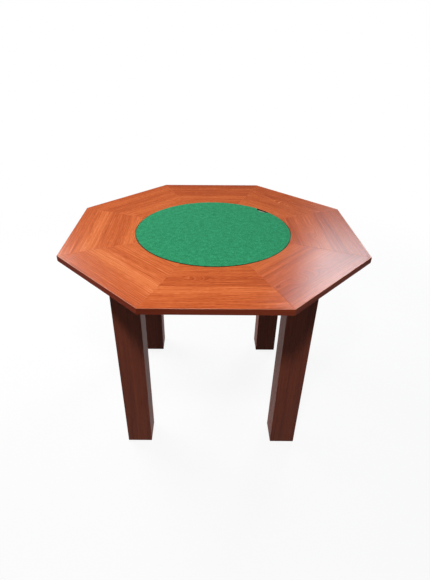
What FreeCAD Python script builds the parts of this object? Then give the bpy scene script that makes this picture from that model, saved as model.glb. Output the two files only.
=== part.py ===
import FreeCAD, Part
import os
import re
import Sketcher

# Octagonal games table with a lift-out felt disc.
# Origin on the floor under the middle of the top, +Z up, front towards -Y.

# Driving dimensions in millimetres. notch_angle alone is in degrees.
SIZES = {
    # octagonal top: a base board under eight mitred segments, with eight edge bands
    "across_flats": 1000,
    "table_height": 750,
    "board_thickness": 15,
    "segment_thickness": 5,
    "mitre_bevel": 0.4,
    "band_thickness": 2,
    "band_round": 1.5,
    # playing disc: backing, core and felt, lying in the round well
    "disc_diameter": 548,
    "disc_gap": 1.5,
    "backing_thickness": 0.6,
    "core_thickness": 3,
    "felt_thickness": 1,
    "notch_radius": 36,
    "notch_depth": 16,
    "notch_angle": 43,
    # hollow legs, with a flat at the inner top corner
    "legs_over": 640,
    "leg_width": 90,
    "leg_wall": 15,
    "leg_round": 1.5,
    "corner_flat": 24,
    "corner_flat_height": 85,
    "top_block_height": 150,
    "foot_block_height": 25,
    # glides under the legs
    "glide_diameter": 36,
    "glide_thickness": 3,
    "glide_bevel": 1,
    "pin_diameter": 5,
    "pin_length": 16,
    "pin_clearance": 0.1,
    # aprons between the legs
    "apron_height": 80,
    "apron_thickness": 18,
    "apron_setback": 12,
    # corner brackets: a web across the corner and a wing on each apron
    "plate_thickness": 2.5,
    "plate_height": 60,
    "plate_gap": 6,
    "wing_length": 40,
    "bend_radius": 3,
    # hanger bolts with washers and nuts
    "bolt_diameter": 8,
    "bolt_clearance": 0.1,
    "bolt_spacing": 30,
    "bolt_in_leg": 45,
    "bolt_past_nut": 5,
    "bolt_bevel": 1,
    "bolt_hole_clearance": 0.5,
    "washer_diameter": 16,
    "washer_thickness": 1.6,
    "nut_width": 13,
    "nut_height": 6.5,
    # wood screws
    "screw_diameter": 4,
    "screw_length": 12,
    "screw_tip": 3,
    "screw_head_diameter": 8,
    "screw_head_height": 2.4,
    "screw_clearance": 0.1,
    "screw_hole_clearance": 0.25,
    # small angle brackets between aprons and base board
    "angle_leg": 25,
    "angle_width": 18,
    "angle_thickness": 2,
    "angle_spacing": 200,
    # how far a cut runs past the wood that it removes
    "cut_overrun": 5,
}

# The eight sides of the top, each turned 45 degrees on from the one before.
SIDES = ["front", "front_right", "right", "back_right", "back", "back_left", "left", "front_left"]

# The four aprons and the four corners, each turned 90 degrees on from the one before.
APRONS = ["back", "left", "front", "right"]
CORNERS = ["back_right", "back_left", "front_left", "front_right"]

# Shares of the size that each follows.
BAND_ROUND_SHARE = 0.9
HEAD_CROWN_SHARE = 0.6
WELL_START_SHARE = 0.5

# Two coordinates closer than this are taken as one.
SAME_PLACE = 0.001

# Lengths that several pieces share, written in the named sizes.
SLOPE = f"tan({180 / len(SIDES)} deg)"
RIM = "across_flats / 2"
CORE_RIM = "(across_flats / 2 - band_thickness)"
WELL_RADIUS = "(disc_diameter / 2 + disc_gap)"
WELL_FLOOR = "(table_height - segment_thickness)"
UNDERSIDE = "(table_height - segment_thickness - board_thickness)"
LEG_OUTER = "(legs_over / 2)"
LEG_INNER = "(legs_over / 2 - leg_width)"
LEG_LENGTH = "(table_height - segment_thickness - board_thickness - glide_thickness)"
APRON_OUTER = "(legs_over / 2 - apron_setback)"
APRON_INNER = "(legs_over / 2 - apron_setback - apron_thickness)"
# Distances along the diagonal from the middle to the flat on the leg and to the bracket's web.
FLAT_AT = f"((2 * {LEG_INNER} + corner_flat) / sqrt(2))"
WEB_OUTER_AT = f"({FLAT_AT} - plate_gap)"
WEB_INNER_AT = f"({FLAT_AT} - plate_gap - plate_thickness)"
BOLT_TIP_AT = f"({FLAT_AT} + bolt_in_leg)"
# Along an apron, where the bracket bends and where its wing is screwed on.
BEND_AT = f"(sqrt(2) * {WEB_OUTER_AT} - {APRON_INNER})"
WING_SCREW_AT = f"({BEND_AT} - wing_length / 2)"
# Heights above the apron's lower edge.
PLATE_FOOT = "((apron_height - plate_height) / 2)"
LOW_BOLT = "((apron_height - bolt_spacing) / 2)"
HIGH_BOLT = "((apron_height + bolt_spacing) / 2)"
# Middle of each leg of an angle bracket, from its bend.
ANGLE_HOLE_AT = "((angle_leg + angle_thickness) / 2)"

doc = FreeCAD.newDocument("games_table")
sheet = doc.addObject("Spreadsheet::Sheet", "Sizes")
for row, (alias, number) in enumerate(SIZES.items(), 1):
    sheet.set(f"A{row}", alias)
    sheet.set(f"B{row}", str(number))
    sheet.setAlias(f"B{row}", alias)
doc.recompute()

pieces = []


def in_cells(formula):
    """Puts the sheet's name before each named size in a formula."""
    return re.sub(r"[a-z_]+", lambda word: f"Sizes.{word[0]}" if word[0] in SIZES else word[0], formula)


def bind(thing, place, formula):
    thing.setExpression(place, in_cells(formula))


def new_piece(label, height="0", turn=0):
    """Starts a body at a height above the floor, turned about the upright axis."""
    body = doc.addObject("PartDesign::Body", label)
    body.Label = label
    body.Placement.Rotation = FreeCAD.Rotation(FreeCAD.Vector(0, 0, 1), turn)
    bind(body, "Placement.Base.z", height)
    pieces.append(body)
    return body


def origin_part(body, role):
    return next(part for part in body.Origin.OriginFeatures if part.Role == role)


def sketch_on(body, plane, lift="0", along="0", up="0"):
    """Lays a sketch on an origin plane, lifted off it and shifted in it."""
    sketch = body.newObject("Sketcher::SketchObject", "Outline")
    sketch.AttachmentSupport = [(origin_part(body, plane), "")]
    sketch.MapMode = "FlatFace"
    bind(sketch, "AttachmentOffset.Base.x", along)
    bind(sketch, "AttachmentOffset.Base.y", up)
    bind(sketch, "AttachmentOffset.Base.z", lift)
    return sketch


def fix_point(sketch, edge, end, start, place):
    """Ties one point of a sketch to its two formulas, or to an axis where one is zero."""
    for kind, axis, begin, formula in zip(("DistanceX", "DistanceY"), (-2, -1), start, place):
        if formula == "0":
            sketch.addConstraint(Sketcher.Constraint("PointOnObject", edge, end, axis))
        else:
            rule = sketch.addConstraint(Sketcher.Constraint(kind, -1, 1, edge, end, begin))
            bind(sketch, f"Constraints[{rule}]", formula)


def polygon(sketch, corners):
    """Draws a closed outline through corners given as pairs of formulas."""
    starts = []
    for corner in range(len(corners)):
        spoke = FreeCAD.Rotation(FreeCAD.Vector(0, 0, 1), 360 * corner / len(corners))
        starts.append(spoke.multVec(FreeCAD.Vector(1, 0, 0)))
    ring = zip(starts, starts[1:] + starts[:1])
    edges = sketch.addGeometry([Part.LineSegment(begin, end) for begin, end in ring], False)
    for edge, following in zip(edges, edges[1:] + edges[:1]):
        sketch.addConstraint(Sketcher.Constraint("Coincident", edge, 2, following, 1))
    for edge, start, corner in zip(edges, starts, corners):
        fix_point(sketch, edge, 1, start, corner)


def rectangle(sketch, low, high):
    """Draws an upright rectangle between two opposite corners."""
    polygon(sketch, [low, (high[0], low[1]), high, (low[0], high[1])])


def circle(sketch, middle, radius):
    edge = sketch.addGeometry(Part.Circle(), False)
    fix_point(sketch, edge, 3, (1, 1), middle)
    rule = sketch.addConstraint(Sketcher.Constraint("Radius", edge, 1))
    bind(sketch, f"Constraints[{rule}]", radius)


def pad(body, sketch, length):
    feature = body.newObject("PartDesign::Pad", "Pad")
    feature.Profile = sketch
    bind(feature, "Length", length)
    return feature


def pocket(body, sketch, depth=None, along_normal=False):
    """Cuts a sketch into the body, right through it where no depth is given."""
    feature = body.newObject("PartDesign::Pocket", "Pocket")
    feature.Profile = sketch
    feature.Reversed = along_normal
    if depth:
        bind(feature, "Length", depth)
    else:
        feature.Type = "ThroughAll"
    must_cut(body)
    return feature


def revolve(body, sketch, axis):
    feature = body.newObject("PartDesign::Revolution", "Revolution")
    feature.Profile = sketch
    feature.ReferenceAxis = (sketch, [axis])
    feature.Angle = 360
    return feature


def diagonal_bore(body, height, radius, depth):
    """Drills from the upright axis out along the diagonal of the +X +Y corner."""
    bore = body.newObject("PartDesign::SubtractiveCylinder", "Bore")
    bore.Placement.Rotation = FreeCAD.Rotation(FreeCAD.Vector(0, 0, 1), FreeCAD.Vector(1, 1, 0))
    bind(bore, "Placement.Base.z", height)
    bind(bore, "Radius", radius)
    bind(bore, "Height", depth)
    must_cut(body)


def must_cut(body):
    """Stops if the newest cut of a body took nothing away."""
    doc.recompute()
    cut = body.Tip
    if not cut.Shape.Volume < cut.BaseFeature.Shape.Volume:
        raise ValueError(f"{body.Label}: {cut.Name} cuts nothing")


def near(first, second):
    return abs(first - second) < SAME_PLACE


def dress(body, kind, size, wanted):
    """Rounds or bevels the edges whose two ends pass a test within the body's box."""
    doc.recompute()
    base = body.Tip
    names = []
    for number, edge in enumerate(base.Shape.Edges, 1):
        ends = [vertex.Point for vertex in edge.Vertexes]
        if len(ends) == 2 and wanted(ends[0], ends[1], base.Shape.BoundBox):
            names.append(f"Edge{number}")
    feature = body.newObject(f"PartDesign::{kind}", kind)
    feature.Base = (base, names)
    bind(feature, {"Fillet": "Radius", "Chamfer": "Size"}[kind], size)


def upright(first, second):
    """True for an edge that stands upright."""
    return near(first.x, second.x) and near(first.y, second.y)


def repeat(body, *steps):
    """Repeats the whole body so far by a chain of patterns."""
    doc.recompute()
    chain = body.newObject("PartDesign::MultiTransform", "Repeat")
    chain.TransformMode = "Whole shape"
    chain.Transformations = [step(body) for step in steps]
    body.Tip = chain


def pair_along(role, spacing):
    """A second copy along an axis of the body."""

    def step(body):
        pattern = body.newObject("PartDesign::LinearPattern", "Pair")
        pattern.Direction = (origin_part(body, role), [""])
        pattern.Occurrences = 2
        bind(pattern, "Length", spacing)
        return pattern

    return step


def ring_of_four(body):
    """Four copies round the upright axis, one for each corner or apron."""
    pattern = body.newObject("PartDesign::PolarPattern", "Ring")
    pattern.Axis = (origin_part(body, "Z_Axis"), [""])
    pattern.Angle = 360
    pattern.Occurrences = 4
    return pattern


# The octagonal top

def make_base_board():
    """Octagonal board that carries the top, with pilot holes for the angle brackets below."""
    body = new_piece("base_board", UNDERSIDE)
    outline = sketch_on(body, "XY_Plane")
    far = CORE_RIM
    half_side = f"{CORE_RIM} * {SLOPE}"
    right = [(half_side, f"-{far}"), (far, f"-{half_side}"), (far, half_side), (half_side, far)]
    left = [(f"-{x}", y) for x, y in reversed(right)]
    polygon(outline, right + left)
    pad(body, outline, "board_thickness")
    holes = sketch_on(body, "XY_Plane")
    for side in ("", "-"):
        middle = (f"{side}angle_spacing / 2", f"{APRON_INNER} - {ANGLE_HOLE_AT}")
        circle(holes, middle, "screw_diameter / 2 + screw_clearance")
    cut = pocket(body, holes, "screw_length", along_normal=True)
    ring = ring_of_four(body)
    ring.Originals = [cut]
    body.Tip = ring


def wedge(sketch, inner, outer):
    """The stretch of the front side between two distances from the middle, with mitred ends."""
    corners = [(f"{outer} * {SLOPE}", f"-{outer}"), (f"{inner} * {SLOPE}", f"-{inner}")]
    polygon(sketch, corners + [(f"-{x}", y) for x, y in reversed(corners)])


def make_segment(side, turn):
    """Mitred segment of the top, cut to an arc at the well and bevelled along its mitres."""
    body = new_piece(f"top_segment_{side}", WELL_FLOOR, turn)
    outline = sketch_on(body, "XY_Plane")
    wedge(outline, f"{WELL_RADIUS} * {WELL_START_SHARE}", CORE_RIM)
    pad(body, outline, "segment_thickness")
    well = sketch_on(body, "XY_Plane")
    circle(well, ("0", "0"), WELL_RADIUS)
    pocket(body, well, along_normal=True)

    def top_mitre(first, second, box):
        in_line = near(first.x * second.y, first.y * second.x)
        return in_line and near(first.z, box.ZMax) and near(second.z, box.ZMax)

    dress(body, "Chamfer", "mitre_bevel", top_mitre)


def make_edge_band(side, turn):
    """Band on one side of the octagon, as deep as the top, rounded along its outer edges."""
    body = new_piece(f"edge_band_{side}", UNDERSIDE, turn)
    outline = sketch_on(body, "XY_Plane")
    wedge(outline, CORE_RIM, f"({RIM})")
    pad(body, outline, "board_thickness + segment_thickness")

    def outer_long_edge(first, second, box):
        on_face = near(first.y, box.YMin) and near(second.y, box.YMin)
        return on_face and not upright(first, second)

    dress(body, "Fillet", f"min(band_round; band_thickness * {BAND_ROUND_SHARE})", outer_long_edge)


# The playing disc

def make_disc_layer(label, thickness, below):
    """One layer of the disc, with the finger notch in its rim."""
    body = new_piece(label, f"{WELL_FLOOR} + {below}" if below else WELL_FLOOR)
    outline = sketch_on(body, "XY_Plane")
    circle(outline, ("0", "0"), "disc_diameter / 2")
    pad(body, outline, thickness)
    notch = sketch_on(body, "XY_Plane")
    reach = "(disc_diameter / 2 - notch_depth + notch_radius)"
    middle = (f"{reach} * cos(notch_angle * 1 deg)", f"{reach} * sin(notch_angle * 1 deg)")
    circle(notch, middle, "notch_radius")
    pocket(body, notch, along_normal=True)


# The legs

def make_leg(corner, turn):
    """Hollow square leg, with a flat across its inner top corner for the hanger bolts."""
    body = new_piece(f"leg_{corner}", "glide_thickness", turn)
    outline = sketch_on(body, "XY_Plane")
    rectangle(outline, (LEG_INNER, LEG_INNER), (LEG_OUTER, LEG_OUTER))
    inside = (f"{LEG_INNER} + leg_wall", f"{LEG_OUTER} - leg_wall")
    rectangle(outline, (inside[0], inside[0]), (inside[1], inside[1]))
    pad(body, outline, LEG_LENGTH)

    def outer_corner(first, second, box):
        on_side = near(first.x, box.XMin) or near(first.x, box.XMax)
        on_front = near(first.y, box.YMin) or near(first.y, box.YMax)
        return upright(first, second) and on_side and on_front

    dress(body, "Fillet", "leg_round", outer_corner)
    flat = sketch_on(body, "XY_Plane", lift=LEG_LENGTH)
    outside = f"{LEG_INNER} - cut_overrun"
    beyond = f"{LEG_INNER} + corner_flat + cut_overrun"
    polygon(flat, [(outside, outside), (beyond, outside), (outside, beyond)])
    pocket(body, flat, "corner_flat_height")
    for bolt in (LOW_BOLT, HIGH_BOLT):
        height = f"{LEG_LENGTH} - apron_height + {bolt}"
        diagonal_bore(body, height, "bolt_diameter / 2 + bolt_clearance", BOLT_TIP_AT)


def make_leg_block(label, height, at, turn):
    """Square block that fills the hollow of a leg over a stretch of its height."""
    body = new_piece(label, at, turn)
    outline = sketch_on(body, "XY_Plane")
    inside = (f"{LEG_INNER} + leg_wall", f"{LEG_OUTER} - leg_wall")
    rectangle(outline, (inside[0], inside[0]), (inside[1], inside[1]))
    pad(body, outline, height)
    return body


def make_top_block(corner, turn):
    """Block at the head of a leg that takes the hanger bolts."""
    foot = f"{UNDERSIDE} - top_block_height"
    body = make_leg_block(f"leg_top_block_{corner}", "top_block_height", foot, turn)
    for bolt in (LOW_BOLT, HIGH_BOLT):
        height = f"top_block_height - apron_height + {bolt}"
        diagonal_bore(body, height, "bolt_diameter / 2 + bolt_clearance", f"{BOLT_TIP_AT} + bolt_clearance")


def make_foot_block(corner, turn):
    """Block at the foot of a leg that takes the pin of the glide."""
    body = make_leg_block(f"leg_foot_block_{corner}", "foot_block_height", "glide_thickness", turn)
    hole = sketch_on(body, "XY_Plane")
    middle = f"({LEG_INNER} + {LEG_OUTER}) / 2"
    circle(hole, (middle, middle), "pin_diameter / 2 + pin_clearance")
    pocket(body, hole, "pin_length + pin_clearance", along_normal=True)


def make_glide(corner, turn):
    """Round glide under a leg, with its pin."""
    body = new_piece(f"foot_glide_{corner}", "0", turn)
    middle = f"({LEG_INNER} + {LEG_OUTER}) / 2"
    profile = sketch_on(body, "XZ_Plane", lift=f"-{middle}", along=middle)
    top = "glide_thickness + pin_length"
    polygon(profile, [
        ("0", "0"),
        ("glide_diameter / 2 - glide_bevel", "0"),
        ("glide_diameter / 2", "glide_bevel"),
        ("glide_diameter / 2", "glide_thickness"),
        ("pin_diameter / 2", "glide_thickness"),
        ("pin_diameter / 2", top),
        ("0", top),
    ])
    revolve(body, profile, "V_Axis")


# The apron frame and its brackets

def make_apron(side, turn):
    """Apron between two legs, with pilot holes in its inner face."""
    body = new_piece(f"apron_{side}", f"{UNDERSIDE} - apron_height", turn)
    outline = sketch_on(body, "XY_Plane")
    rectangle(outline, (f"-{LEG_INNER}", APRON_INNER), (LEG_INNER, APRON_OUTER))
    pad(body, outline, "apron_height")
    holes = sketch_on(body, "XZ_Plane", lift=f"-{APRON_INNER}")
    for end in ("", "-"):
        places = [(WING_SCREW_AT, LOW_BOLT), (WING_SCREW_AT, HIGH_BOLT)]
        places.append(("angle_spacing / 2", f"apron_height - {ANGLE_HOLE_AT}"))
        for along, height in places:
            circle(holes, (f"{end}{along}", height), "screw_diameter / 2 + screw_clearance")
    pocket(body, holes, "screw_length")


def make_corner_bracket(corner, turn):
    """Pressed plate across a corner: a web that faces the leg and a wing on each apron."""
    body = new_piece(f"corner_bracket_{corner}", f"{UNDERSIDE} - apron_height + {PLATE_FOOT}", turn)
    outline = sketch_on(body, "XY_Plane")
    tip = f"{BEND_AT} - wing_length"
    face = f"{APRON_INNER} - plate_thickness"
    inner_bend = f"{BEND_AT} - plate_thickness * (sqrt(2) - 1)"
    half = [(tip, face), (tip, APRON_INNER), (BEND_AT, APRON_INNER)]
    polygon(outline, half + [(y, x) for x, y in reversed(half)] + [(face, inner_bend), (inner_bend, face)])
    pad(body, outline, "plate_height")

    def outer_bend(first, second, box):
        at_bend = not near(first.x, box.XMin) and not near(first.y, box.YMin)
        on_apron = near(first.x, box.XMax) or near(first.y, box.YMax)
        return upright(first, second) and at_bend and on_apron

    def inside_bend(first, second, box):
        at_bend = not near(first.x, box.XMin) and not near(first.y, box.YMin)
        on_apron = near(first.x, box.XMax) or near(first.y, box.YMax)
        return upright(first, second) and at_bend and not on_apron

    dress(body, "Fillet", "bend_radius", inside_bend)
    dress(body, "Fillet", "bend_radius + plate_thickness", outer_bend)
    heights = [f"{bolt} - {PLATE_FOOT}" for bolt in (LOW_BOLT, HIGH_BOLT)]
    for plane, along_normal in (("XZ_Plane", False), ("YZ_Plane", True)):
        holes = sketch_on(body, plane)
        for height in heights:
            circle(holes, (WING_SCREW_AT, height), "screw_diameter / 2 + screw_hole_clearance")
        pocket(body, holes, along_normal=along_normal)
    for height in heights:
        diagonal_bore(body, height, "bolt_diameter / 2 + bolt_hole_clearance", FLAT_AT)


def make_angle_brackets():
    """Small angle brackets, two on each apron, under the base board."""
    body = new_piece("angle_brackets", UNDERSIDE)
    outline = sketch_on(body, "YZ_Plane", lift="-(angle_spacing + angle_width) / 2")
    face = f"{APRON_INNER} - angle_thickness"
    end = f"{APRON_INNER} - angle_leg"
    polygon(outline, [
        (APRON_INNER, "0"),
        (APRON_INNER, "-angle_leg"),
        (face, "-angle_leg"),
        (face, "-angle_thickness"),
        (end, "-angle_thickness"),
        (end, "0"),
    ])
    pad(body, outline, "angle_width")
    hole = "screw_diameter / 2 + screw_hole_clearance"
    in_apron = sketch_on(body, "XZ_Plane")
    circle(in_apron, ("-angle_spacing / 2", f"-{ANGLE_HOLE_AT}"), hole)
    pocket(body, in_apron)
    in_board = sketch_on(body, "XY_Plane")
    circle(in_board, ("-angle_spacing / 2", f"{APRON_INNER} - {ANGLE_HOLE_AT}"), hole)
    pocket(body, in_board)
    repeat(body, pair_along("X_Axis", "angle_spacing"), ring_of_four)


# The fasteners

def screw(body, plane, lift, along, up, stands=False):
    """One wood screw whose head seats at the sketch's origin, pointing along or up it."""
    sketch = sketch_on(body, plane, lift, along, up)
    crown = f"screw_head_diameter / 2 * {HEAD_CROWN_SHARE}"
    shoulder = f"-screw_head_height * {HEAD_CROWN_SHARE}"
    profile = [
        ("-screw_head_height", "0"),
        ("-screw_head_height", crown),
        (shoulder, "screw_head_diameter / 2"),
        ("0", "screw_head_diameter / 2"),
        ("0", "screw_diameter / 2"),
        ("screw_length - screw_tip", "screw_diameter / 2"),
        ("screw_length", "0"),
    ]
    if stands:
        profile = [(out, length) for length, out in profile]
    polygon(sketch, profile)
    revolve(body, sketch, "V_Axis" if stands else "H_Axis")


def make_bracket_screws():
    """Screws through the wings of the corner brackets, two in each wing."""
    body = new_piece("corner_bracket_screws", f"{UNDERSIDE} - apron_height + {LOW_BOLT}")
    screw(body, "YZ_Plane", f"-{WING_SCREW_AT}", f"{APRON_INNER} - plate_thickness", "0")
    pairs = [pair_along("X_Axis", f"2 * {WING_SCREW_AT}"), pair_along("Z_Axis", "bolt_spacing")]
    repeat(body, *pairs, ring_of_four)


def make_angle_screws():
    """Screws through the angle brackets, one into the apron and one into the base board."""
    body = new_piece("angle_bracket_screws", UNDERSIDE)
    at = "-angle_spacing / 2"
    screw(body, "YZ_Plane", at, f"{APRON_INNER} - angle_thickness", f"-{ANGLE_HOLE_AT}")
    screw(body, "YZ_Plane", at, f"{APRON_INNER} - {ANGLE_HOLE_AT}", "-angle_thickness", stands=True)
    repeat(body, pair_along("X_Axis", "angle_spacing"), ring_of_four)


def new_bolt_row(label):
    """A body on the diagonal of a corner, at the height of the lower bolts."""
    return new_piece(label, f"{UNDERSIDE} - apron_height + {LOW_BOLT}", 45)


def to_every_bolt(body):
    repeat(body, pair_along("Z_Axis", "bolt_spacing"), ring_of_four)


def make_hanger_bolts():
    """Bolts from the leg blocks out through the webs, two in each corner."""
    body = new_bolt_row("hanger_bolts")
    profile = sketch_on(body, "XZ_Plane")
    end = f"{WEB_INNER_AT} - washer_thickness - nut_height - bolt_past_nut"
    polygon(profile, [
        (end, "0"),
        (end, "bolt_diameter / 2 - bolt_bevel"),
        (f"{end} + bolt_bevel", "bolt_diameter / 2"),
        (f"{BOLT_TIP_AT} - bolt_bevel", "bolt_diameter / 2"),
        (BOLT_TIP_AT, "bolt_diameter / 2 - bolt_bevel"),
        (BOLT_TIP_AT, "0"),
    ])
    revolve(body, profile, "H_Axis")
    to_every_bolt(body)


def make_washers():
    """Washers between the nuts and the webs."""
    body = new_bolt_row("hanger_washers")
    outline = sketch_on(body, "YZ_Plane", lift=f"{WEB_INNER_AT} - washer_thickness")
    circle(outline, ("0", "0"), "washer_diameter / 2")
    circle(outline, ("0", "0"), "bolt_diameter / 2 + bolt_clearance")
    pad(body, outline, "washer_thickness")
    to_every_bolt(body)


def make_nuts():
    """Hexagon nuts on the hanger bolts."""
    body = new_bolt_row("hanger_nuts")
    outline = sketch_on(body, "YZ_Plane", lift=f"{WEB_INNER_AT} - washer_thickness - nut_height")
    point = "nut_width / sqrt(3)"
    corner = "nut_width / sqrt(12)"
    right = [(corner, "-nut_width / 2"), (point, "0"), (corner, "nut_width / 2")]
    polygon(outline, right + [(f"-{x}", y) for x, y in reversed(right)])
    circle(outline, ("0", "0"), "bolt_diameter / 2 + bolt_clearance")
    pad(body, outline, "nut_height")
    to_every_bolt(body)


make_base_board()
for number, side in enumerate(SIDES):
    turn = 360 * number / len(SIDES)
    make_segment(side, turn)
    make_edge_band(side, turn)
make_disc_layer("disc_backing", "backing_thickness", "")
make_disc_layer("disc_core", "core_thickness", "backing_thickness")
make_disc_layer("disc_felt", "felt_thickness", "backing_thickness + core_thickness")
for number, side in enumerate(APRONS):
    make_apron(side, 360 * number / len(APRONS))
for number, corner in enumerate(CORNERS):
    turn = 360 * number / len(CORNERS)
    make_leg(corner, turn)
    make_top_block(corner, turn)
    make_foot_block(corner, turn)
    make_glide(corner, turn)
    make_corner_bracket(corner, turn)
make_hanger_bolts()
make_washers()
make_nuts()
make_bracket_screws()
make_angle_brackets()
make_angle_screws()
doc.recompute()

failed = [thing.Label for thing in doc.Objects if {"Invalid", "Error"} & set(thing.State)]
for piece in pieces:
    if piece.Shape.isNull() or not piece.Shape.isValid() or not piece.Shape.Solids:
        failed.append(piece.Label)
if failed:
    raise ValueError(f"pieces that failed: {sorted(set(failed))}")

os.makedirs("parts", exist_ok=True)
for piece in pieces:
    piece.Shape.exportStep(f"parts/{piece.Label}.step")
    print(f"{piece.Label}: {len(piece.Shape.Solids)} solid, {piece.Shape.Volume:.0f} cubic mm")
print(f"{len(pieces)} pieces")
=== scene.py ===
import math
import bpy
import numpy as np
from mathutils import Matrix, Vector


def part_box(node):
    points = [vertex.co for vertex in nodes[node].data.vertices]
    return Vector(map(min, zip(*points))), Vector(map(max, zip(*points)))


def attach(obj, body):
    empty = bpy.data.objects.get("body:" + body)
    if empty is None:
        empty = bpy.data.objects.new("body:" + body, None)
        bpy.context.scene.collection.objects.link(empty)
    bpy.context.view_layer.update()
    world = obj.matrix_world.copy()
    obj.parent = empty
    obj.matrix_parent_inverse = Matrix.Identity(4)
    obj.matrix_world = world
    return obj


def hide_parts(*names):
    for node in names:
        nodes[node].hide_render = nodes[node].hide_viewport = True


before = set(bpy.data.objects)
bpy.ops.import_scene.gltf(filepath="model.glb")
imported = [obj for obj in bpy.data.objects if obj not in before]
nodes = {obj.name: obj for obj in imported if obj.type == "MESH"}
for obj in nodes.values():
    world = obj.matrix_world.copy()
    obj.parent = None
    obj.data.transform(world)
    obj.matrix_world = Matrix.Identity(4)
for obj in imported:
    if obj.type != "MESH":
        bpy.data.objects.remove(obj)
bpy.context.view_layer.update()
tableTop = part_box("top_segment_front")[1].z
discRadius = round(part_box("disc_felt")[1].x, 6)  # to the micrometre, as meshes are single precision
print("frame loaded:", len(nodes), "nodes")


# Shader sums

class Wire:
    # one socket of a node tree, which can be added, multiplied and so on
    def __init__(self, tree, socket=None):
        self.tree = tree
        self.socket = socket

    def node(self, kind, settings=None, inputs=None, output=0):
        made = self.tree.nodes.new("ShaderNode" + kind)
        for name, value in (settings or {}).items():
            if name == "stops":
                fillRamp(made.color_ramp, value)
            else:
                setattr(made, name, value)
        for name, value in (inputs or {}).items():
            if isinstance(value, Wire):
                self.tree.links.new(value.socket, made.inputs[name])
            else:
                made.inputs[name].default_value = value
        return Wire(self.tree, made.outputs[output] if made.outputs else None)

    def also(self, output):
        return Wire(self.tree, self.socket.node.outputs[output])  # another output of the same node

    def maths(self, operation, first, second=0.0):
        return self.node("Math", {"operation": operation}, {0: first, 1: second})

    def __add__(self, other):
        return self.maths("ADD", self, other)

    def __sub__(self, other):
        return self.maths("SUBTRACT", self, other)

    def __rsub__(self, other):
        return self.maths("SUBTRACT", other, self)

    def __mul__(self, other):
        return self.maths("MULTIPLY", self, other)

    def __truediv__(self, other):
        return self.maths("DIVIDE", self, other)

    def __rtruediv__(self, other):
        return self.maths("DIVIDE", other, self)

    def __pow__(self, other):
        return self.maths("POWER", self, other)

    def __rpow__(self, other):
        return self.maths("POWER", other, self)

    def __neg__(self):
        return self.maths("MULTIPLY", self, -1.0)

    def __abs__(self):
        return self.maths("ABSOLUTE", self)

    __radd__ = __add__
    __rmul__ = __mul__


def fillRamp(colourRamp, stops):
    while len(colourRamp.elements) < len(stops):
        colourRamp.elements.new(1.0)
    for element, (place, colour) in zip(colourRamp.elements, stops):
        element.position = place
        element.color = (*colour, 1.0) if isinstance(colour, tuple) else (colour, colour, colour, 1.0)


def newMaterial(name, shade):
    made = bpy.data.materials.new(name)
    made.use_nodes = True
    made.node_tree.nodes.clear()
    start = Wire(made.node_tree)
    start.node("OutputMaterial", {}, {"Surface": shade(start)})
    return made


def dress(material, *names):
    for name in names:
        slots = nodes[name].data.materials
        slots.clear()
        slots.append(material)


def turnedPlace(start, turn=0.0):
    place = start.node("TexCoord", output="Object")
    return start.node("Mapping", {}, {"Vector": place, "Rotation": (0, 0, math.radians(-turn))})


def noise(place, scale, shift=(0, 0, 0), detail=2.0, rough=0.5):
    vector = place.node("Mapping", {}, {"Vector": place, "Scale": scale, "Location": shift})
    return place.node("TexNoise", {}, {
        "Vector": vector, "Scale": 1.0, "Detail": detail, "Roughness": rough})


def nextPart(step, number):
    # where in the noise the piece of that number starts, so that no two look the same
    return tuple(number * along for along in step)


def between(value, low, high, first=0.0, last=1.0):
    # first below low, last above high, and a smooth change between
    return value.node("MapRange", {"interpolation_type": "SMOOTHSTEP"},
                      {"Value": value, "From Min": low, "From Max": high, "To Min": first, "To Max": last})


def ramp(value, stops):
    return value.node("ValToRGB", {"stops": stops}, {"Fac": value})


def bump(height, strength, distance):
    return height.node("Bump", {}, {"Height": height, "Strength": strength, "Distance": distance}, "Normal")


def mixColour(factor, first, second):
    return factor.node("Mix", {"data_type": "RGBA"}, {0: factor, 6: first, 7: second}, 2)


def linear(*levels):
    # screen colour, 0 to 255, to the linear values that shaders take
    share = np.array(levels) / 255
    return tuple(np.where(share <= 0.04045, share / 12.92, ((share + 0.055) / 1.055) ** 2.4).tolist())


# Veneered top

sides = ["front", "front_right", "right", "back_right", "back", "back_left", "left", "front_left"]

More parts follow.
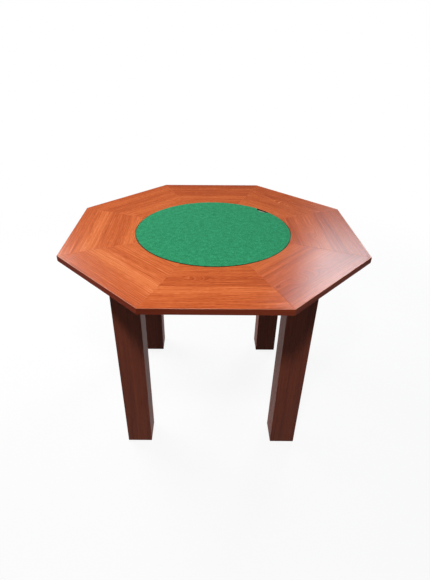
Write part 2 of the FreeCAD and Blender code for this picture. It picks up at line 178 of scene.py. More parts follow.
veneerLook = {
    "tones": [(0.0, linear(138, 53, 27)), (0.25, linear(172, 73, 36)), (0.5, linear(200, 95, 48)),
              (0.75, linear(222, 116, 62)), (1.0, linear(238, 140, 84))],
    "from": 0.24,  # metres from the middle of the table, where the strips start
    "to": 0.51,
    "rough": 0.24,
    "fineRough": 0.2,  # how much the fine streaks change it
    "gloss": 0.28,
    "relief": (0.15, 0.0004),  # strength, and depth in metres
    "poreRelief": 0.6,
    "wander": 0.010,  # metres that the grain strays
    "drift": (1.8, 6.0),  # waves a metre of its straying, along and across
    "ripple": (7.0, 28.0),
    "rippleShare": 0.3,  # of the wander
    "stripShare": 0.2,  # of the drift, which the strips follow
    "broad": (1.6, 42.0, 2.0, 0.5),  # streaks a metre along and across, detail and roughness
    "streaks": (5.0, 170.0, 2.0, 0.55),
    "fine": (12.0, 430.0, 2.0, 0.65),
    "dashes": (75.0, 520.0, 1.0, 0.5),
    "vein": (3.0, 120.0, 1.0, 0.5),
    "pores": (40.0, 1500.0, 1.0, 0.5),
    "weights": (0.24, 0.55, 0.95, 0.62),  # of the broad, middle and fine streaks and the dashes
    "veinHalf": 0.05,
    "veinPlaces": (-0.08, 0.10),  # levels of the broad streaks, between which the thin lines come in
    "poreLevels": (0.58, 0.72),
    "poreDark": 0.10,
    "figure": 0.10,  # how much more the streaks show inside an arch
    "archReach": (0.3, 0.7, 2.6),  # its core across, core along and end along, in half widths
    "markHalf": (0.014, 0.005),
    "markEdge": (0.2, 1.0),
    "well": (0.0017, 0.0021),  # metres out from the disc's rim, where the well's wall, painted dark as shade in the gap round the disc, ends
    # painted shade for the gap round the disc, the colour of the well's wall
    "cutEdge": linear(46, 24, 15),
    "joint": (0.00036, 0.0009),  # metres from a mitre, where the finish stops being dull
    "jointRough": 0.6,
    "part": (3.1, 1.7, 0.0),  # from one segment's part of the noise to the next
}

# strips: metres from the middle of the table, and a tone from 0, dark, to 1, light; the veneer's own bands,
# save that the dark outer strips of front_right and right are painted shade under the glare
# tilt: how much the grain leaves the edge's direction; veins: how dark the thin lines are
# fade: how much lighter the tone gets per metre along the edge, painted light and shade for how the light
# falls along it
# length and depth of the streaks, 1 for common ones
# arch, on some: place along the edge and from the middle, half its width, and how steeply its rings
# cross the grain
# mark, on one: place and strength of a small dark fleck; rough, on one: a smoother finish
veneerSides = {
    "front": {
        "strips": [(0.250, 0.55), (0.318, 0.58), (0.345, 0.45), (0.366, 0.51), (0.388, 0.45), (0.390, 0.71),
                   (0.414, 0.70), (0.444, 0.52), (0.458, 0.55), (0.500, 0.51)],
        "tilt": 0.045,
        "fade": -0.22,
        "veins": 0.20,
        "length": 1.2,
        "depth": 1.0,
        "arch": (-0.045, 0.342, 0.026, 0.30),
        "rough": 0.18,
    },
    "front_right": {
        "strips": [(0.250, 0.56), (0.297, 0.62), (0.308, 0.52), (0.312, 0.38), (0.321, 0.40), (0.325, 0.54),
                   (0.333, 0.50), (0.337, 0.34), (0.348, 0.35), (0.354, 0.46), (0.375, 0.42), (0.415, 0.28),
                   (0.440, 0.22), (0.470, 0.22), (0.476, 0.31), (0.500, 0.31)],
        "tilt": -0.02,
        "fade": -0.42,
        "veins": 0.14,
        "length": 2.0,
        "depth": 0.6,
        "arch": (-0.03, 0.420, 0.036, 0.52),
        "mark": (-0.148, 0.404, 0.30),
    },
    "right": {
        "strips": [(0.250, 0.51), (0.296, 0.39), (0.312, 0.54), (0.338, 0.46), (0.348, 0.54), (0.378, 0.52),
                   (0.388, 0.42), (0.394, 0.26), (0.404, 0.36), (0.410, 0.24), (0.418, 0.32), (0.428, 0.24),
                   (0.442, 0.35), (0.500, 0.29)],
        "tilt": 0.03,
        "fade": 0.35,
        "veins": 0.20,
        "length": 2.2,
        "depth": 0.6,
        "arch": (-0.02, 0.345, 0.030, -0.45),
    },
    "back_right": {
        "strips": [(0.250, 0.60), (0.306, 0.62), (0.336, 0.53), (0.352, 0.47), (0.366, 0.52), (0.392, 0.55),
                   (0.430, 0.42), (0.452, 0.46), (0.500, 0.51)],
        "tilt": -0.03,
        "fade": 0.0,
        "veins": 0.16,
        "length": 0.8,
        "depth": 1.0,
        "arch": (0.00, 0.400, 0.030, 0.34),
    },
    "back": {
        "strips": [(0.250, 0.50), (0.312, 0.55), (0.322, 0.62), (0.348, 0.62), (0.358, 0.46), (0.378, 0.42),
                   (0.404, 0.49), (0.416, 0.41), (0.434, 0.51), (0.456, 0.41), (0.500, 0.25)],
        "tilt": 0.02,
        "fade": 0.0,
        "veins": 0.20,
        "length": 1.2,
        "depth": 1.0,
    },
    "back_left": {
        "strips": [(0.250, 0.54), (0.310, 0.64), (0.328, 0.69), (0.334, 0.62), (0.376, 0.50), (0.390, 0.54),
                   (0.406, 0.49), (0.424, 0.48), (0.452, 0.58), (0.468, 0.52), (0.500, 0.44)],
        "tilt": -0.01,
        "fade": 0.0,
        "veins": 0.16,
        "length": 1.5,
        "depth": 1.0,
    },
    "left": {
        "strips": [(0.250, 0.64), (0.300, 0.77), (0.308, 0.65), (0.312, 0.54), (0.328, 0.53), (0.340, 0.58),
                   (0.384, 0.58), (0.388, 0.62), (0.394, 0.79), (0.400, 0.65), (0.406, 0.82), (0.424, 0.77),
                   (0.456, 0.58), (0.500, 0.55)],
        "tilt": 0.01,
        "fade": 0.22,
        "veins": 0.24,
        "length": 1.8,
        "depth": 0.85,
    },
    "front_left": {
        "strips": [(0.250, 0.63), (0.322, 0.72), (0.332, 0.61), (0.344, 0.65), (0.368, 0.71), (0.384, 0.84),
                   (0.398, 0.82), (0.420, 0.69), (0.446, 0.60), (0.456, 0.62), (0.470, 0.55),
                   (0.500, 0.47)],
        "tilt": 0.0,
        "fade": 0.1,
        "veins": 0.28,
        "length": 2.6,
        "depth": 1.0,
    },
}


def veneer(side, number):
    look = veneerLook
    sheet = veneerSides[side]
    turn = 360 * number / len(sides)
    shift = nextPart(look["part"], number)
    span = look["to"] - look["from"]
    stops = [((at - look["from"]) / span, tone) for at, tone in sheet["strips"]]

    def strayed(place, waves, metres):
        return (noise(place, (*waves, 1.0), shift, 1.0) - 0.5) * metres

    def shade(start):
        place = turnedPlace(start, turn)
        along = place.node("SeparateXYZ", {}, {"Vector": place})
        drift = strayed(place, look["drift"], look["wander"])
        ripple = strayed(place, look["ripple"], look["wander"] * look["rippleShare"])
        out = drift * look["stripShare"] - along.also("Y")  # metres from the middle of the table
        # the strips are the veneer's bands, with painted shade in the dark outer strips of front_right and
        # right
        strips = ramp((out - look["from"]) / span, stops)
        across = out + drift + ripple + along * sheet["tilt"]

        # inside an arch the streaks follow slope * along + off^2 / width, and outside it they run straight
        contrast, lines = sheet["depth"], across
        if "arch" in sheet:
            archAlong, archAcross, half, slope = sheet["arch"]
            coreAcross, coreAlong, endAlong = (half * reach for reach in look["archReach"])
            off = across - archAcross
            inArch = between(abs(off), coreAcross, half, 1.0, 0.0)
            inArch = inArch * between(abs(along - archAlong), coreAlong, endAlong, 1.0, 0.0)
            bent = (along - archAlong) * slope + off * off / (2.0 * half)
            contrast = inArch * look["figure"] + sheet["depth"]
            lines = across + (bent - off) * inArch
        grain = start.node("CombineXYZ", {}, {"X": along, "Y": lines})

        def layer(name, length=1.0, moved=shift):
            perAlong, perAcross, detail, rough = look[name]
            return noise(grain, (perAlong / length, perAcross, 1.0), moved, detail, rough)

        # streaks at three widths, short dashes, thin dark lines that come and go, and pores
        broad = layer("broad") - 0.5
        streaks = layer("streaks", sheet["length"]) - 0.5
        fine = layer("fine", sheet["length"]) - 0.5
        dashes = layer("dashes", sheet["length"]) - 0.5
        vein = abs(layer("vein", sheet["length"], (shift[1], shift[0], 0.0)) - 0.5)
        veins = between(vein, 0.0, look["veinHalf"], 1.0, 0.0) * between(broad, *look["veinPlaces"])
        pores = between(layer("pores"), *look["poreLevels"])

        byBroad, byStreaks, byFine, byDashes = look["weights"]
        figure = broad * byBroad + streaks * byStreaks + fine * byFine + dashes * byDashes
        # along * fade is painted light and shade along each edge, darkest towards the right tip
        tone = strips + along * sheet["fade"] + figure * contrast
        tone = tone - veins * sheet["veins"] - pores * look["poreDark"]
        if "mark" in sheet:
            markAlong, markAcross, markDark = sheet["mark"]
            halfAlong, halfAcross = look["markHalf"]
            ellipse = ((along - markAlong) / halfAlong) ** 2.0 + ((across - markAcross) / halfAcross) ** 2.0
            tone = tone - between(ellipse + fine, *look["markEdge"], markDark, 0.0)
        # the well's wall round the disc is painted dark, painted shade for the gap between the disc and the
        # top
        flat = place.node("VectorMath", {"operation": "MULTIPLY"}, {0: place, 1: (1, 1, 0)})
        distance = place.node("VectorMath", {"operation": "LENGTH"}, {0: flat}, "Value")
        wallShade = between(distance, *(discRadius + gap for gap in look["well"]), 1.0, 0.0)
        colour = mixColour(wallShade, ramp(tone, look["tones"]), (*look["cutEdge"], 1.0))
        mitre = math.pi / len(sides)
        fromMitre = -along.also("Y") * math.sin(mitre) - abs(along) * math.cos(mitre)
        joint = between(fromMitre, *look["joint"], look["jointRough"], 0.0)
        return start.node("BsdfPrincipled", {}, {
            "Base Color": colour,
            "Roughness": fine * look["fineRough"] + joint + sheet.get("rough", look["rough"]),
            "Normal": bump(fine + dashes - pores * look["poreRelief"], *look["relief"]),
            "Specular IOR Level": look["gloss"]})

    return newMaterial("veneer_" + side, shade)


for number, side in enumerate(sides):
    dress(veneer(side, number), "top_segment_" + side)
print("top veneered")


# Edge bands, in the same veneer with the grain along the edge

edgeLook = {
    "tones": [(0.25, linear(106, 42, 28)), (0.5, linear(140, 60, 40)), (0.75, linear(170, 78, 50))],
    # painted light: lighter tones for the bands that face the front left
    "litTones": [(0.25, linear(126, 42, 24)), (0.5, linear(164, 62, 36)), (0.75, linear(194, 82, 48))],
    "litSides": ("front_left", "left"),  # bands painted lighter, painted light from the front left
    "fade": {"front": 0.5},  # how much lighter the tone gets per metre along a band
    "broad": ((2.0, 1.0, 60.0), 2.0, 0.5),  # streaks a metre along, through and up, detail and roughness
    "fine": ((6.0, 1.0, 420.0), 3.0, 0.6),
    "weights": (0.7, 0.3),
    "rough": 0.5,
    "gloss": 0.03,
    "relief": (0.2, 0.0003),
    "arrisHighlight": [(0.3, linear(174, 94, 64)), (0.7, linear(198, 118, 86))],  # painted highlight along the top arris of a band
    "topArris": (0.0010, 0.0002),  # metres below the table's top, between which it starts
    "topArrisStray": 0.0008,
    "polish": 0.56,  # how much of the top's finish lies on that edge
    "polishRough": 0.24,
    "part": (2.3, 0.0, 1.9),  # from one band's part of the noise to the next
}


def edgeVeneer(side, number):
    look = edgeLook
    turn = 360 * number / len(sides)
    shift = nextPart(look["part"], number)
    # the front_left and left bands take lighter tones, painted light from the front left
    tones = look["litTones" if side in look["litSides"] else "tones"]

    def shade(start):
        place = turnedPlace(start, turn)
        along = place.node("SeparateXYZ", {}, {"Vector": place})
        broad, fine = (noise(place, scale, shift, detail, rough)
                       for scale, detail, rough in (look["broad"], look["fine"]))
        byBroad, byFine = look["weights"]
        tone = broad * byBroad + fine * byFine + along * look["fade"].get(side, 0.0)
        # the top arris of a band takes a painted highlight in its colour, and the top's clear finish as a
        # coat
        height = along.also("Z") + (broad - 0.5) * look["topArrisStray"]
        topArris = between(height, *(tableTop - drop for drop in look["topArris"]))
        return start.node("BsdfPrincipled", {}, {
            "Base Color": mixColour(topArris, ramp(tone, tones), ramp(fine, look["arrisHighlight"])),
            "Roughness": look["rough"], "Normal": bump(fine, *look["relief"]),
            "Specular IOR Level": look["gloss"], "Coat Weight": topArris * look["polish"],
            "Coat Roughness": look["polishRough"]})

    return newMaterial("edge_" + side, shade)


for number, side in enumerate(sides):
    dress(edgeVeneer(side, number), "edge_band_" + side)
print("edges banded")


# Legs, aprons and the disc's reverse

corners = ["back_right", "back_left", "front_left", "front_right"]
aprons = ["back", "left", "front", "right"]

legLook = {
    "tones": [(0.15, linear(80, 35, 27)), (0.45, linear(130, 64, 47)), (0.7, linear(153, 77, 53)),
              (0.95, linear(178, 93, 61))],
    "rough": 0.55,
    "gloss": 0.15,
    "arris": (0.0022, 0.0004),  # metres in from a face, between which the wear starts
    "arrisStray": 0.004,
    "wear": 0.16,  # how much lighter the arrises are
    "paintedLight": 0.0,  # painted light and shade: how much lighter the whole sheet is
    "fade": 0.0,  # painted shade: how much lighter it gets per metre up
    "part": (1.3, 2.1, 1.0),  # from one leg's part of the noise to the next
    "apronPart": (1.0, 1.7, 1.0),
}
# each leg lighter or darker for how the light falls on it, painted light and shade; the front left leg also
# darker towards its top, painted shade under the table
legSheets = {
    "back_right": {"paintedLight": -0.12},
    "back_left": {"paintedLight": -0.10},
    "front_left": {"paintedLight": 0.10, "fade": -0.28},
    "front_right": {"paintedLight": 0.05},
}
reverseLook = {
    "tones": [(0.15, linear(150, 60, 32)), (0.45, linear(192, 88, 48)), (0.7, linear(210, 106, 60)),
              (0.95, linear(226, 124, 74))],
    "rough": 0.40,
    "gloss": 0.28,
    "paintedLight": 0.0,
    "fade": 0.0,
    "part": (5.0, 3.0, 1.0),
}
straightGrain = {
    "broad": (0.9, 16.0, 2.0, 0.5),  # streaks a metre along and across, detail and roughness
    "mid": (3.0, 90.0, 2.0, 0.55),
    "fine": (10.0, 430.0, 3.0, 0.6),
    "vein": (1.1, 48.0, 1.0, 0.5),
    "pores": (30.0, 1300.0, 1.0, 0.5),
    "weights": (0.55, 0.6, 0.45),  # of the broad, middle and fine streaks
    "level": -0.25,  # brings the sum of the streaks to the ramp's middle
    "veinHalf": 0.03,
    "veinDark": 0.12,
    "poreLevels": (0.56, 0.68),
    "poreDark": 0.22,
    "poreRelief": 0.6,
    "fineRough": 0.3,
    "relief": (0.2, 0.0003),
}


def legWear(place, fine):
    # near 1 where a point is close to two faces of a leg at once, broken up by the grain
    low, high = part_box("leg_back_right")
    middle, half = (high.x + low.x) / 2, (high.x - low.x) / 2  # the same along both axes
    axes = place.node("SeparateXYZ", {}, {"Vector": place})
    fromMiddle = [abs(abs(axis) - middle) for axis in (axes, axes.also("Y"))]
    nearest = axes.maths("MINIMUM", *fromMiddle) + (fine - 0.5) * legLook["arrisStray"]
    return between(nearest, *(half - inset for inset in legLook["arris"]))


def straightVeneer(name, look, across, shift):
    # across is 1 for the axes that cross the grain and 0 for the one along it
    straight = straightGrain

    def layer(place, layerName):
        perAlong, perAcross, detail, rough = straight[layerName]
        scale = tuple(perAcross if crosses else perAlong for crosses in across)
        return noise(place, scale, shift, detail, rough)

    def shade(start):
        place = turnedPlace(start)
        broad, mid, fine, vein, pore = (
            layer(place, layerName) for layerName in ("broad", "mid", "fine", "vein", "pores"))
        veins = between(abs(vein - 0.5), 0.0, straight["veinHalf"], 1.0, 0.0)
        pores = between(pore, *straight["poreLevels"])
        height = place.node("SeparateXYZ", {}, {"Vector": place}).also("Z")
        byBroad, byMid, byFine = straight["weights"]
        tone = broad * byBroad + mid * byMid + fine * byFine
        tone = tone - veins * straight["veinDark"] - pores * straight["poreDark"]
        # painted light and shade: each sheet's lift and its change with height
        tone = tone + height * look["fade"] + (look["paintedLight"] + straight["level"])
        if "wear" in look and not across[2]:  # the legs, whose grain runs up
            tone = tone + legWear(place, fine) * look["wear"]
        return start.node("BsdfPrincipled", {}, {
            "Base Color": ramp(tone, look["tones"]),
            "Roughness": (fine - 0.5) * straight["fineRough"] + look["rough"],
            "Normal": bump(fine - pores * straight["poreRelief"], *straight["relief"]),
            "Specular IOR Level": look["gloss"]})

    return newMaterial(name, shade)


for number, corner in enumerate(corners):
    shift = nextPart(legLook["part"], number)
    sheet = {**legLook, **legSheets[corner]}
    dress(straightVeneer("leg_veneer_" + corner, sheet, (1, 1, 0), shift), "leg_" + corner)
for number, side in enumerate(aprons):
    across = (0, 1, 1) if side in ("front", "back") else (1, 0, 1)
    shift = nextPart(legLook["apronPart"], number)
    dress(straightVeneer("apron_veneer_" + side, legLook, across, shift), "apron_" + side)
dress(straightVeneer("disc_reverse", reverseLook, (0, 1, 1), reverseLook["part"]), "disc_backing")
print("legs, aprons and the disc's reverse veneered")


# Boards, blocks and glides

# tones, noise a metre along the three axes, roughness and the pieces of each board
boards = {
    "faced_board": {
        "tones": [(0.3, linear(180, 178, 166)), (0.7, linear(196, 194, 182))],
        "scale": (60, 60, 60),
        "rough": 0.5,
        "pieces": ["base_board"],
    },
    "hardboard": {
        "tones": [(0.3, linear(62, 42, 28)), (0.7, linear(86, 58, 38))],
        "scale": (200, 200, 900),
        "rough": 0.7,
        "pieces": ["disc_core"],
    },
    "softwood": {
        "tones": [(0.3, linear(196, 160, 112)), (0.7, linear(222, 190, 142))],
        "scale": (60, 60, 3),
        "rough": 0.6,
        "pieces": [block + corner for corner in corners for block in ("leg_top_block_", "leg_foot_block_")],
    },
}
fibres = {
    "broadDetail": 3.0,
    "finer": 9.0,  # how much finer the fibres are than the broad grain
    "fineShift": (1, 2, 3),
    "weights": (0.7, 0.3),
    "relief": (0.2, 0.0003),
}
nylonLook = {
    "tones": [(0.3, 0.010), (0.7, 0.016)],
    "scale": (900, 900, 900),
    "rough": 0.5,
    "relief": (0.15, 0.0002),
}


def plainWood(name, look):
    def shade(start):
        place = turnedPlace(start)
        broad = noise(place, look["scale"], detail=fibres["broadDetail"])
        fine = noise(place, tuple(scale * fibres["finer"] for scale in look["scale"]), fibres["fineShift"])
        byBroad, byFine = fibres["weights"]
        return start.node("BsdfPrincipled", {}, {
            "Base Color": ramp(broad * byBroad + fine * byFine, look["tones"]), "Roughness": look["rough"],
            "Normal": bump(fine, *fibres["relief"])})

    return newMaterial(name, shade)


def nylon(start):
    grain = noise(turnedPlace(start), nylonLook["scale"])
    return start.node("BsdfPrincipled", {}, {
        "Base Color": ramp(grain, nylonLook["tones"]), "Roughness": nylonLook["rough"],
        "Normal": bump(grain, *nylonLook["relief"])})


for name, look in boards.items():
    dress(plainWood(name, look), *look["pieces"])
dress(newMaterial("nylon", nylon), *["foot_glide_" + corner for corner in corners])
print("boards, blocks and glides finished")


# Meshes from arrays

sharpFrom = 35  # degrees between faces, past which an edge stays sharp


def closedGrid(rows, columns):
    # quads of a grid whose columns close on themselves, then a fan at each end to one more point each
    row, column = np.meshgrid(np.arange(rows - 1), np.arange(columns), indexing="ij")
    nextColumn = (column + 1) % columns
    quads = np.stack([row * columns + column, row * columns + nextColumn, (row + 1) * columns + nextColumn,
                      (row + 1) * columns + column], -1).reshape(-1, 4)
    around = np.arange(columns)
    onward = (around + 1) % columns
    first = np.stack([onward, around, np.full(columns, rows * columns)], -1)
    last = np.stack([around, onward, np.full(columns, rows * columns + 1)], -1)
    last[:, :2] += (rows - 1) * columns
    return quads, first, last


def newPiece(name, points, faceSets, material, body, slot, *replaced):
    mesh = bpy.data.meshes.new(name)
    mesh.from_pydata(points.tolist(), [], [face for faces in faceSets for face in faces.tolist()])
    mesh.polygons.foreach_set("use_smooth", np.ones(len(mesh.polygons), dtype=bool))
    mesh.set_sharp_from_angle(angle=math.radians(sharpFrom))
    mesh.materials.append(material)
    piece = bpy.data.objects.new(name, mesh)
    bpy.context.scene.collection.objects.link(piece)
    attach(piece, body)
    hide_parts(*replaced)
    return piece


# Felt

feltLook = {
    "shy": 0.0004,  # metres that its cut stays inside the disc's rim
    "proud": 0.0008,  # metres that it stands above the table's top
    "middle": (0.0003, 0.0012),  # where its middle lies, from the table's
    "uneven": ((315.0, 0.0013, 18.0), (0.0, -0.0005, 20.0)),  # degrees round, metres more, degrees wide
    "round": 0.0004,
    "roundSteps": 4,
    "notchRadius": 0.0365,
    "notchOut": 0.020,  # from the disc's rim to the middle of the notch
    "notchTurn": 43.0,
    "notchReach": 0.13,  # radians each side of the notch's middle, with more spokes
    "notchSpokes": 90,
    "rings": 90,
    "spokes": 800,
    "nap": 0.00009,
    "napWaves": (40, 0.005, 0.03, 7),  # how many, shortest and longest in metres, seed
    "tones": [(0.25, linear(14, 104, 62)), (0.5, linear(40, 142, 95)), (0.75, linear(66, 178, 130))],
    "clouds": ((60, 60, 60), (0, 0, 0), 2.0, 0.5),  # noise a metre, its shift, detail and roughness
    "tufts": ((380, 380, 380), (1, 2, 3), 1.0, 0.6),
    "hairs": ((900, 900, 900), (3, 2, 1), 2.0, 0.6),
    "weights": (0.30, 0.68, 0.35),  # of the clouds, tufts and hairs
    "level": 0.165,  # taken off their sum to bring it to the ramp's middle
    "rough": 0.95,
    "gloss": 0.05,
    "sheen": 0.05,
    "relief": (0.4, 0.0006),
    "cut": (0.0005, 0.0003),  # metres below its top, between which the felt's side, painted dark as shade in the gap round the disc, gives way to the nap
    # painted shade for the gap round the disc, the colour of the felt's side
    "cutEdge": linear(14, 30, 18),
}
feltRadius = discRadius - feltLook["shy"]
feltTop = tableTop + feltLook["proud"]
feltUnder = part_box("disc_core")[1].z


def feltCloth(start):
    look = feltLook
    place = turnedPlace(start)
    clouds, tufts, hairs = (noise(place, *look[name]) for name in ("clouds", "tufts", "hairs"))
    byClouds, byTufts, byHairs = look["weights"]
    colour = ramp(clouds * byClouds + tufts * byTufts + hairs * byHairs - look["level"], look["tones"])
    height = place.node("SeparateXYZ", {}, {"Vector": place}).also("Z")
    # the felt's side is painted dark, painted shade for the gap round the disc
    cut = between(height, *(feltTop - drop for drop in look["cut"]), 1.0, 0.0)
    return start.node("BsdfPrincipled", {}, {
        "Base Color": mixColour(cut, colour, (*look["cutEdge"], 1.0)), "Roughness": look["rough"],
        "Specular IOR Level": look["gloss"], "Sheen Weight": look["sheen"],
        "Normal": bump(tufts + hairs, *look["relief"])})


def feltOutline(turns):
    # the cloth's radius with bumps of exp(-(angle / width)^2) where the hand cut is uneven,
    # or where the ray first meets the notch's circle, whichever is less
    look = feltLook
    radius = np.full_like(turns, feltRadius)
    for at, more, wide in look["uneven"]:
        off = np.mod(np.degrees(turns) - at + 180, 360) - 180
        radius += more * np.exp(-(off / wide) ** 2)
    notch = math.radians(look["notchTurn"])
    notchOut = discRadius + look["notchOut"]
    x = notchOut * math.cos(notch) - look["middle"][0]
    y = notchOut * math.sin(notch) - look["middle"][1]
    ahead = x * np.cos(turns) + y * np.sin(turns)
    inside = look["notchRadius"] ** 2 - (x ** 2 + y ** 2 - ahead ** 2)
    meets = ahead - np.sqrt(np.maximum(inside, 0))
    notched = (inside > 0) & (ahead > 0)
    return np.where(notched, np.minimum(meets, radius), radius)


def softWaves(x, y, count, shortest, longest, seed):
    # sum of plane waves with seeded directions, lengths and phases, about 1 high
    rng = np.random.default_rng(seed)
    heading, phase = rng.uniform(0, 2 * math.pi, (2, count, 1, 1))
    pull = 2 * math.pi / rng.uniform(shortest, longest, (count, 1, 1))
    return np.cos(pull * (x * np.cos(heading) + y * np.sin(heading)) + phase).sum(0) / math.sqrt(count / 2)


def makeFelt():
    look = feltLook
    notch, reach = math.radians(look["notchTurn"]), look["notchReach"]
    turns = np.sort(np.concatenate([np.linspace(0, 2 * math.pi, look["spokes"], endpoint=False),
                                    np.linspace(notch - reach, notch + reach, look["notchSpokes"])]))
    outline = feltOutline(turns)
    # profile from the middle out: flat, a quarter round at the rim, then straight down
    flat = np.linspace(0, 1, look["rings"] + 1)[1:]
    bend = np.linspace(0, math.pi / 2, look["roundSteps"] + 1)[1:]
    inset = np.concatenate([np.full(len(flat), look["round"]), look["round"] * (1 - np.sin(bend)), [0.0]])
    share = np.concatenate([flat, np.ones(len(bend) + 1)])
    height = np.concatenate([np.full(len(flat), feltTop), feltTop - look["round"] * (1 - np.cos(bend)),
                             [feltUnder]])
    out = (outline[None, :] - inset[:, None]) * share[:, None]
    x = look["middle"][0] + out * np.cos(turns)
    y = look["middle"][1] + out * np.sin(turns)
    napped = np.arange(len(share)) < len(flat) - 1  # the rings inside the rim
    nap = look["nap"] * softWaves(x, y, *look["napWaves"]) * napped[:, None]
    points = np.stack([x, y, height[:, None] + nap], -1).reshape(-1, 3)
    poles = [[*look["middle"], feltTop], [*look["middle"], feltUnder]]
    # the rows run down, so the faces are turned round
    faceSets = [faces[:, ::-1] for faces in closedGrid(len(share), len(turns))]
    felt = newPiece("felt_cover", np.concatenate([points, poles]), faceSets,
                    newMaterial("green_felt", feltCloth), "disc", "felt", "disc_felt")
    2 * feltRadius
    2 * feltRadius


makeFelt()
print("felt laid")


# Steel brackets and fasteners

steelLook = {
    "tones": [(0.3, linear(168, 170, 172)), (0.7, linear(198, 198, 194))],
    "bloom": ((90, 90, 90), (0, 0, 0), 3.0),  # noise a metre, its shift and detail
    "rough": 0.28,
    "bloomRough": 0.2,
}


def zincSteel(start):
    bloom = noise(turnedPlace(start), *steelLook["bloom"])
    return start.node("BsdfPrincipled", {}, {
        "Base Color": ramp(bloom, steelLook["tones"]), "Metallic": 1.0,
        "Roughness": bloom * steelLook["bloomRough"] + steelLook["rough"]})


steel = newMaterial("zinc_steel", zincSteel)
dress(steel, *["corner_bracket_" + corner for corner in corners], "angle_brackets", "hanger_washers")


def ring(count):
    return np.linspace(0, 2 * math.pi, count, endpoint=False)[None, :]


def copies(out, turns, heights, poles, places, ahead, sideways):
    # points at heights along each axis and out from it, once for every place and direction
    ahead, sideways = np.asarray(ahead, float), np.asarray(sideways, float)
    axes = np.stack([ahead, sideways, np.cross(ahead, sideways)], 1)
    grid = np.stack([np.broadcast_to(heights, out.shape), out * np.cos(turns), out * np.sin(turns)], -1)
    ends = np.array([(pole, 0, 0) for pole in poles], dtype=float).reshape(-1, 3)
    local = np.concatenate([grid.reshape(-1, 3), ends])
    return np.einsum("pk,nkd->npd", local, axes) + np.asarray(places)[:, None, :]


def repeatFaces(faces, pointCount, times):
    return (faces[None] + (np.arange(times) * pointCount)[:, None, None]).reshape(-1, faces.shape[1])


def steelPiece(name, points, faceSets, replaced):
    repeated = [repeatFaces(faces, points.shape[1], len(points)) for faces in faceSets]
    newPiece(name, points.reshape(-1, 3), repeated, steel, "table", "zinc_steel", replaced)


def threadRidge(heights, turns, pitch):
    # 0 in the groove to 1 on the crest, rising one pitch a turn
    return 1 - np.abs(2 * np.mod(heights / pitch - turns / (2 * math.pi), 1) - 1)


# hanger bolts and nuts, which lie along the diagonals of the table
boltLook = {
    "diagonals": (45, 135, 225, 315),
    "radius": 0.0040,
    "length": 0.0666,
    "pastNut": 0.0050,  # metres that the inner end stands past the nut
    "threaded": 0.02336,  # metres from the inner end to where the nut's thread stops
    "pitch": 0.00125,
    "threadDepth": 0.0007,
    "threadRows": 4,  # a turn
    "neck": 0.0036,  # radius between the two threads
    "neckStep": 0.0005,
    "lagFrom": 0.02936,  # and to where the wood thread starts
    "lagPitch": 0.0032,
    "lagDepth": 0.0012,
    "lagRows": 70,
    "endRadius": 0.0031,  # at the chamfer of the inner end
    "tip": 0.0004,
    "tipSlope": 0.5,
    "columns": 16,
}
nutLook = {
    "width": 0.0130,
    "height": 0.0065,
    "rise": (0, 0.00012, 0.00025, 0.0004, 0.00055, 0.0007),  # rows of the chamfer
    "chamferIn": 0.0002,
    "chamferTurn": 30,
    "play": 0.00005,
    "boreChamfer": 0.0006,
    "columns": 48,
}
# metres from the middle along a diagonal: a corner of the nut's outer face reaches furthest along X
nutCorner = nutLook["width"] / 2 / math.cos(math.pi / 6)
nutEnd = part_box("hanger_nuts")[1].x * math.sqrt(2) - nutCorner
nutStart = nutEnd - nutLook["height"]
boltStart = nutStart - boltLook["pastNut"]
boltEnd = boltStart + boltLook["length"]
boltLow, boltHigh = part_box("hanger_bolts")
boltHeights = (boltLow.z + boltLook["radius"], boltHigh.z - boltLook["radius"])
diagonalTurns = np.radians(boltLook["diagonals"])
diagonals = [(math.cos(a), math.sin(a), 0) for a in diagonalTurns for _ in boltHeights]
boltPlaces = [(0, 0, z) for _ in diagonalTurns for z in boltHeights]
upright = [(0, 0, 1)] * len(diagonals)


def makeBolts():
    # radius = thread core + ridge, a plain neck in the middle and a point at the leg's end
    look = boltLook
    turns = ring(look["columns"])
    threadEnd, lagStart = boltStart + look["threaded"], boltStart + look["lagFrom"]
    machineRows = np.arange(boltStart, threadEnd, look["pitch"] / look["threadRows"])
    neckRows = [threadEnd, lagStart - look["neckStep"]]
    lagRows = np.linspace(lagStart, boltEnd, look["lagRows"])
    heights = np.concatenate([machineRows, neckRows, lagRows])[:, None]
    machine = look["radius"] - look["threadDepth"] * (1 - threadRidge(heights, turns, look["pitch"]))
    lag = look["radius"] - look["lagDepth"] * (1 - threadRidge(heights, turns, look["lagPitch"]) ** 3)
    out = np.where(heights < lagStart, look["neck"], lag)
    out = np.where(heights < threadEnd, machine, out)
    out = np.minimum(out, look["endRadius"] + (heights - boltStart))
    out = np.minimum(out, look["tip"] + look["tipSlope"] * (boltEnd - heights))
    points = copies(out, turns, heights, (boltStart, boltEnd), boltPlaces, diagonals, upright)
    steelPiece("threaded_hanger_bolts", points, closedGrid(*out.shape), "hanger_bolts")


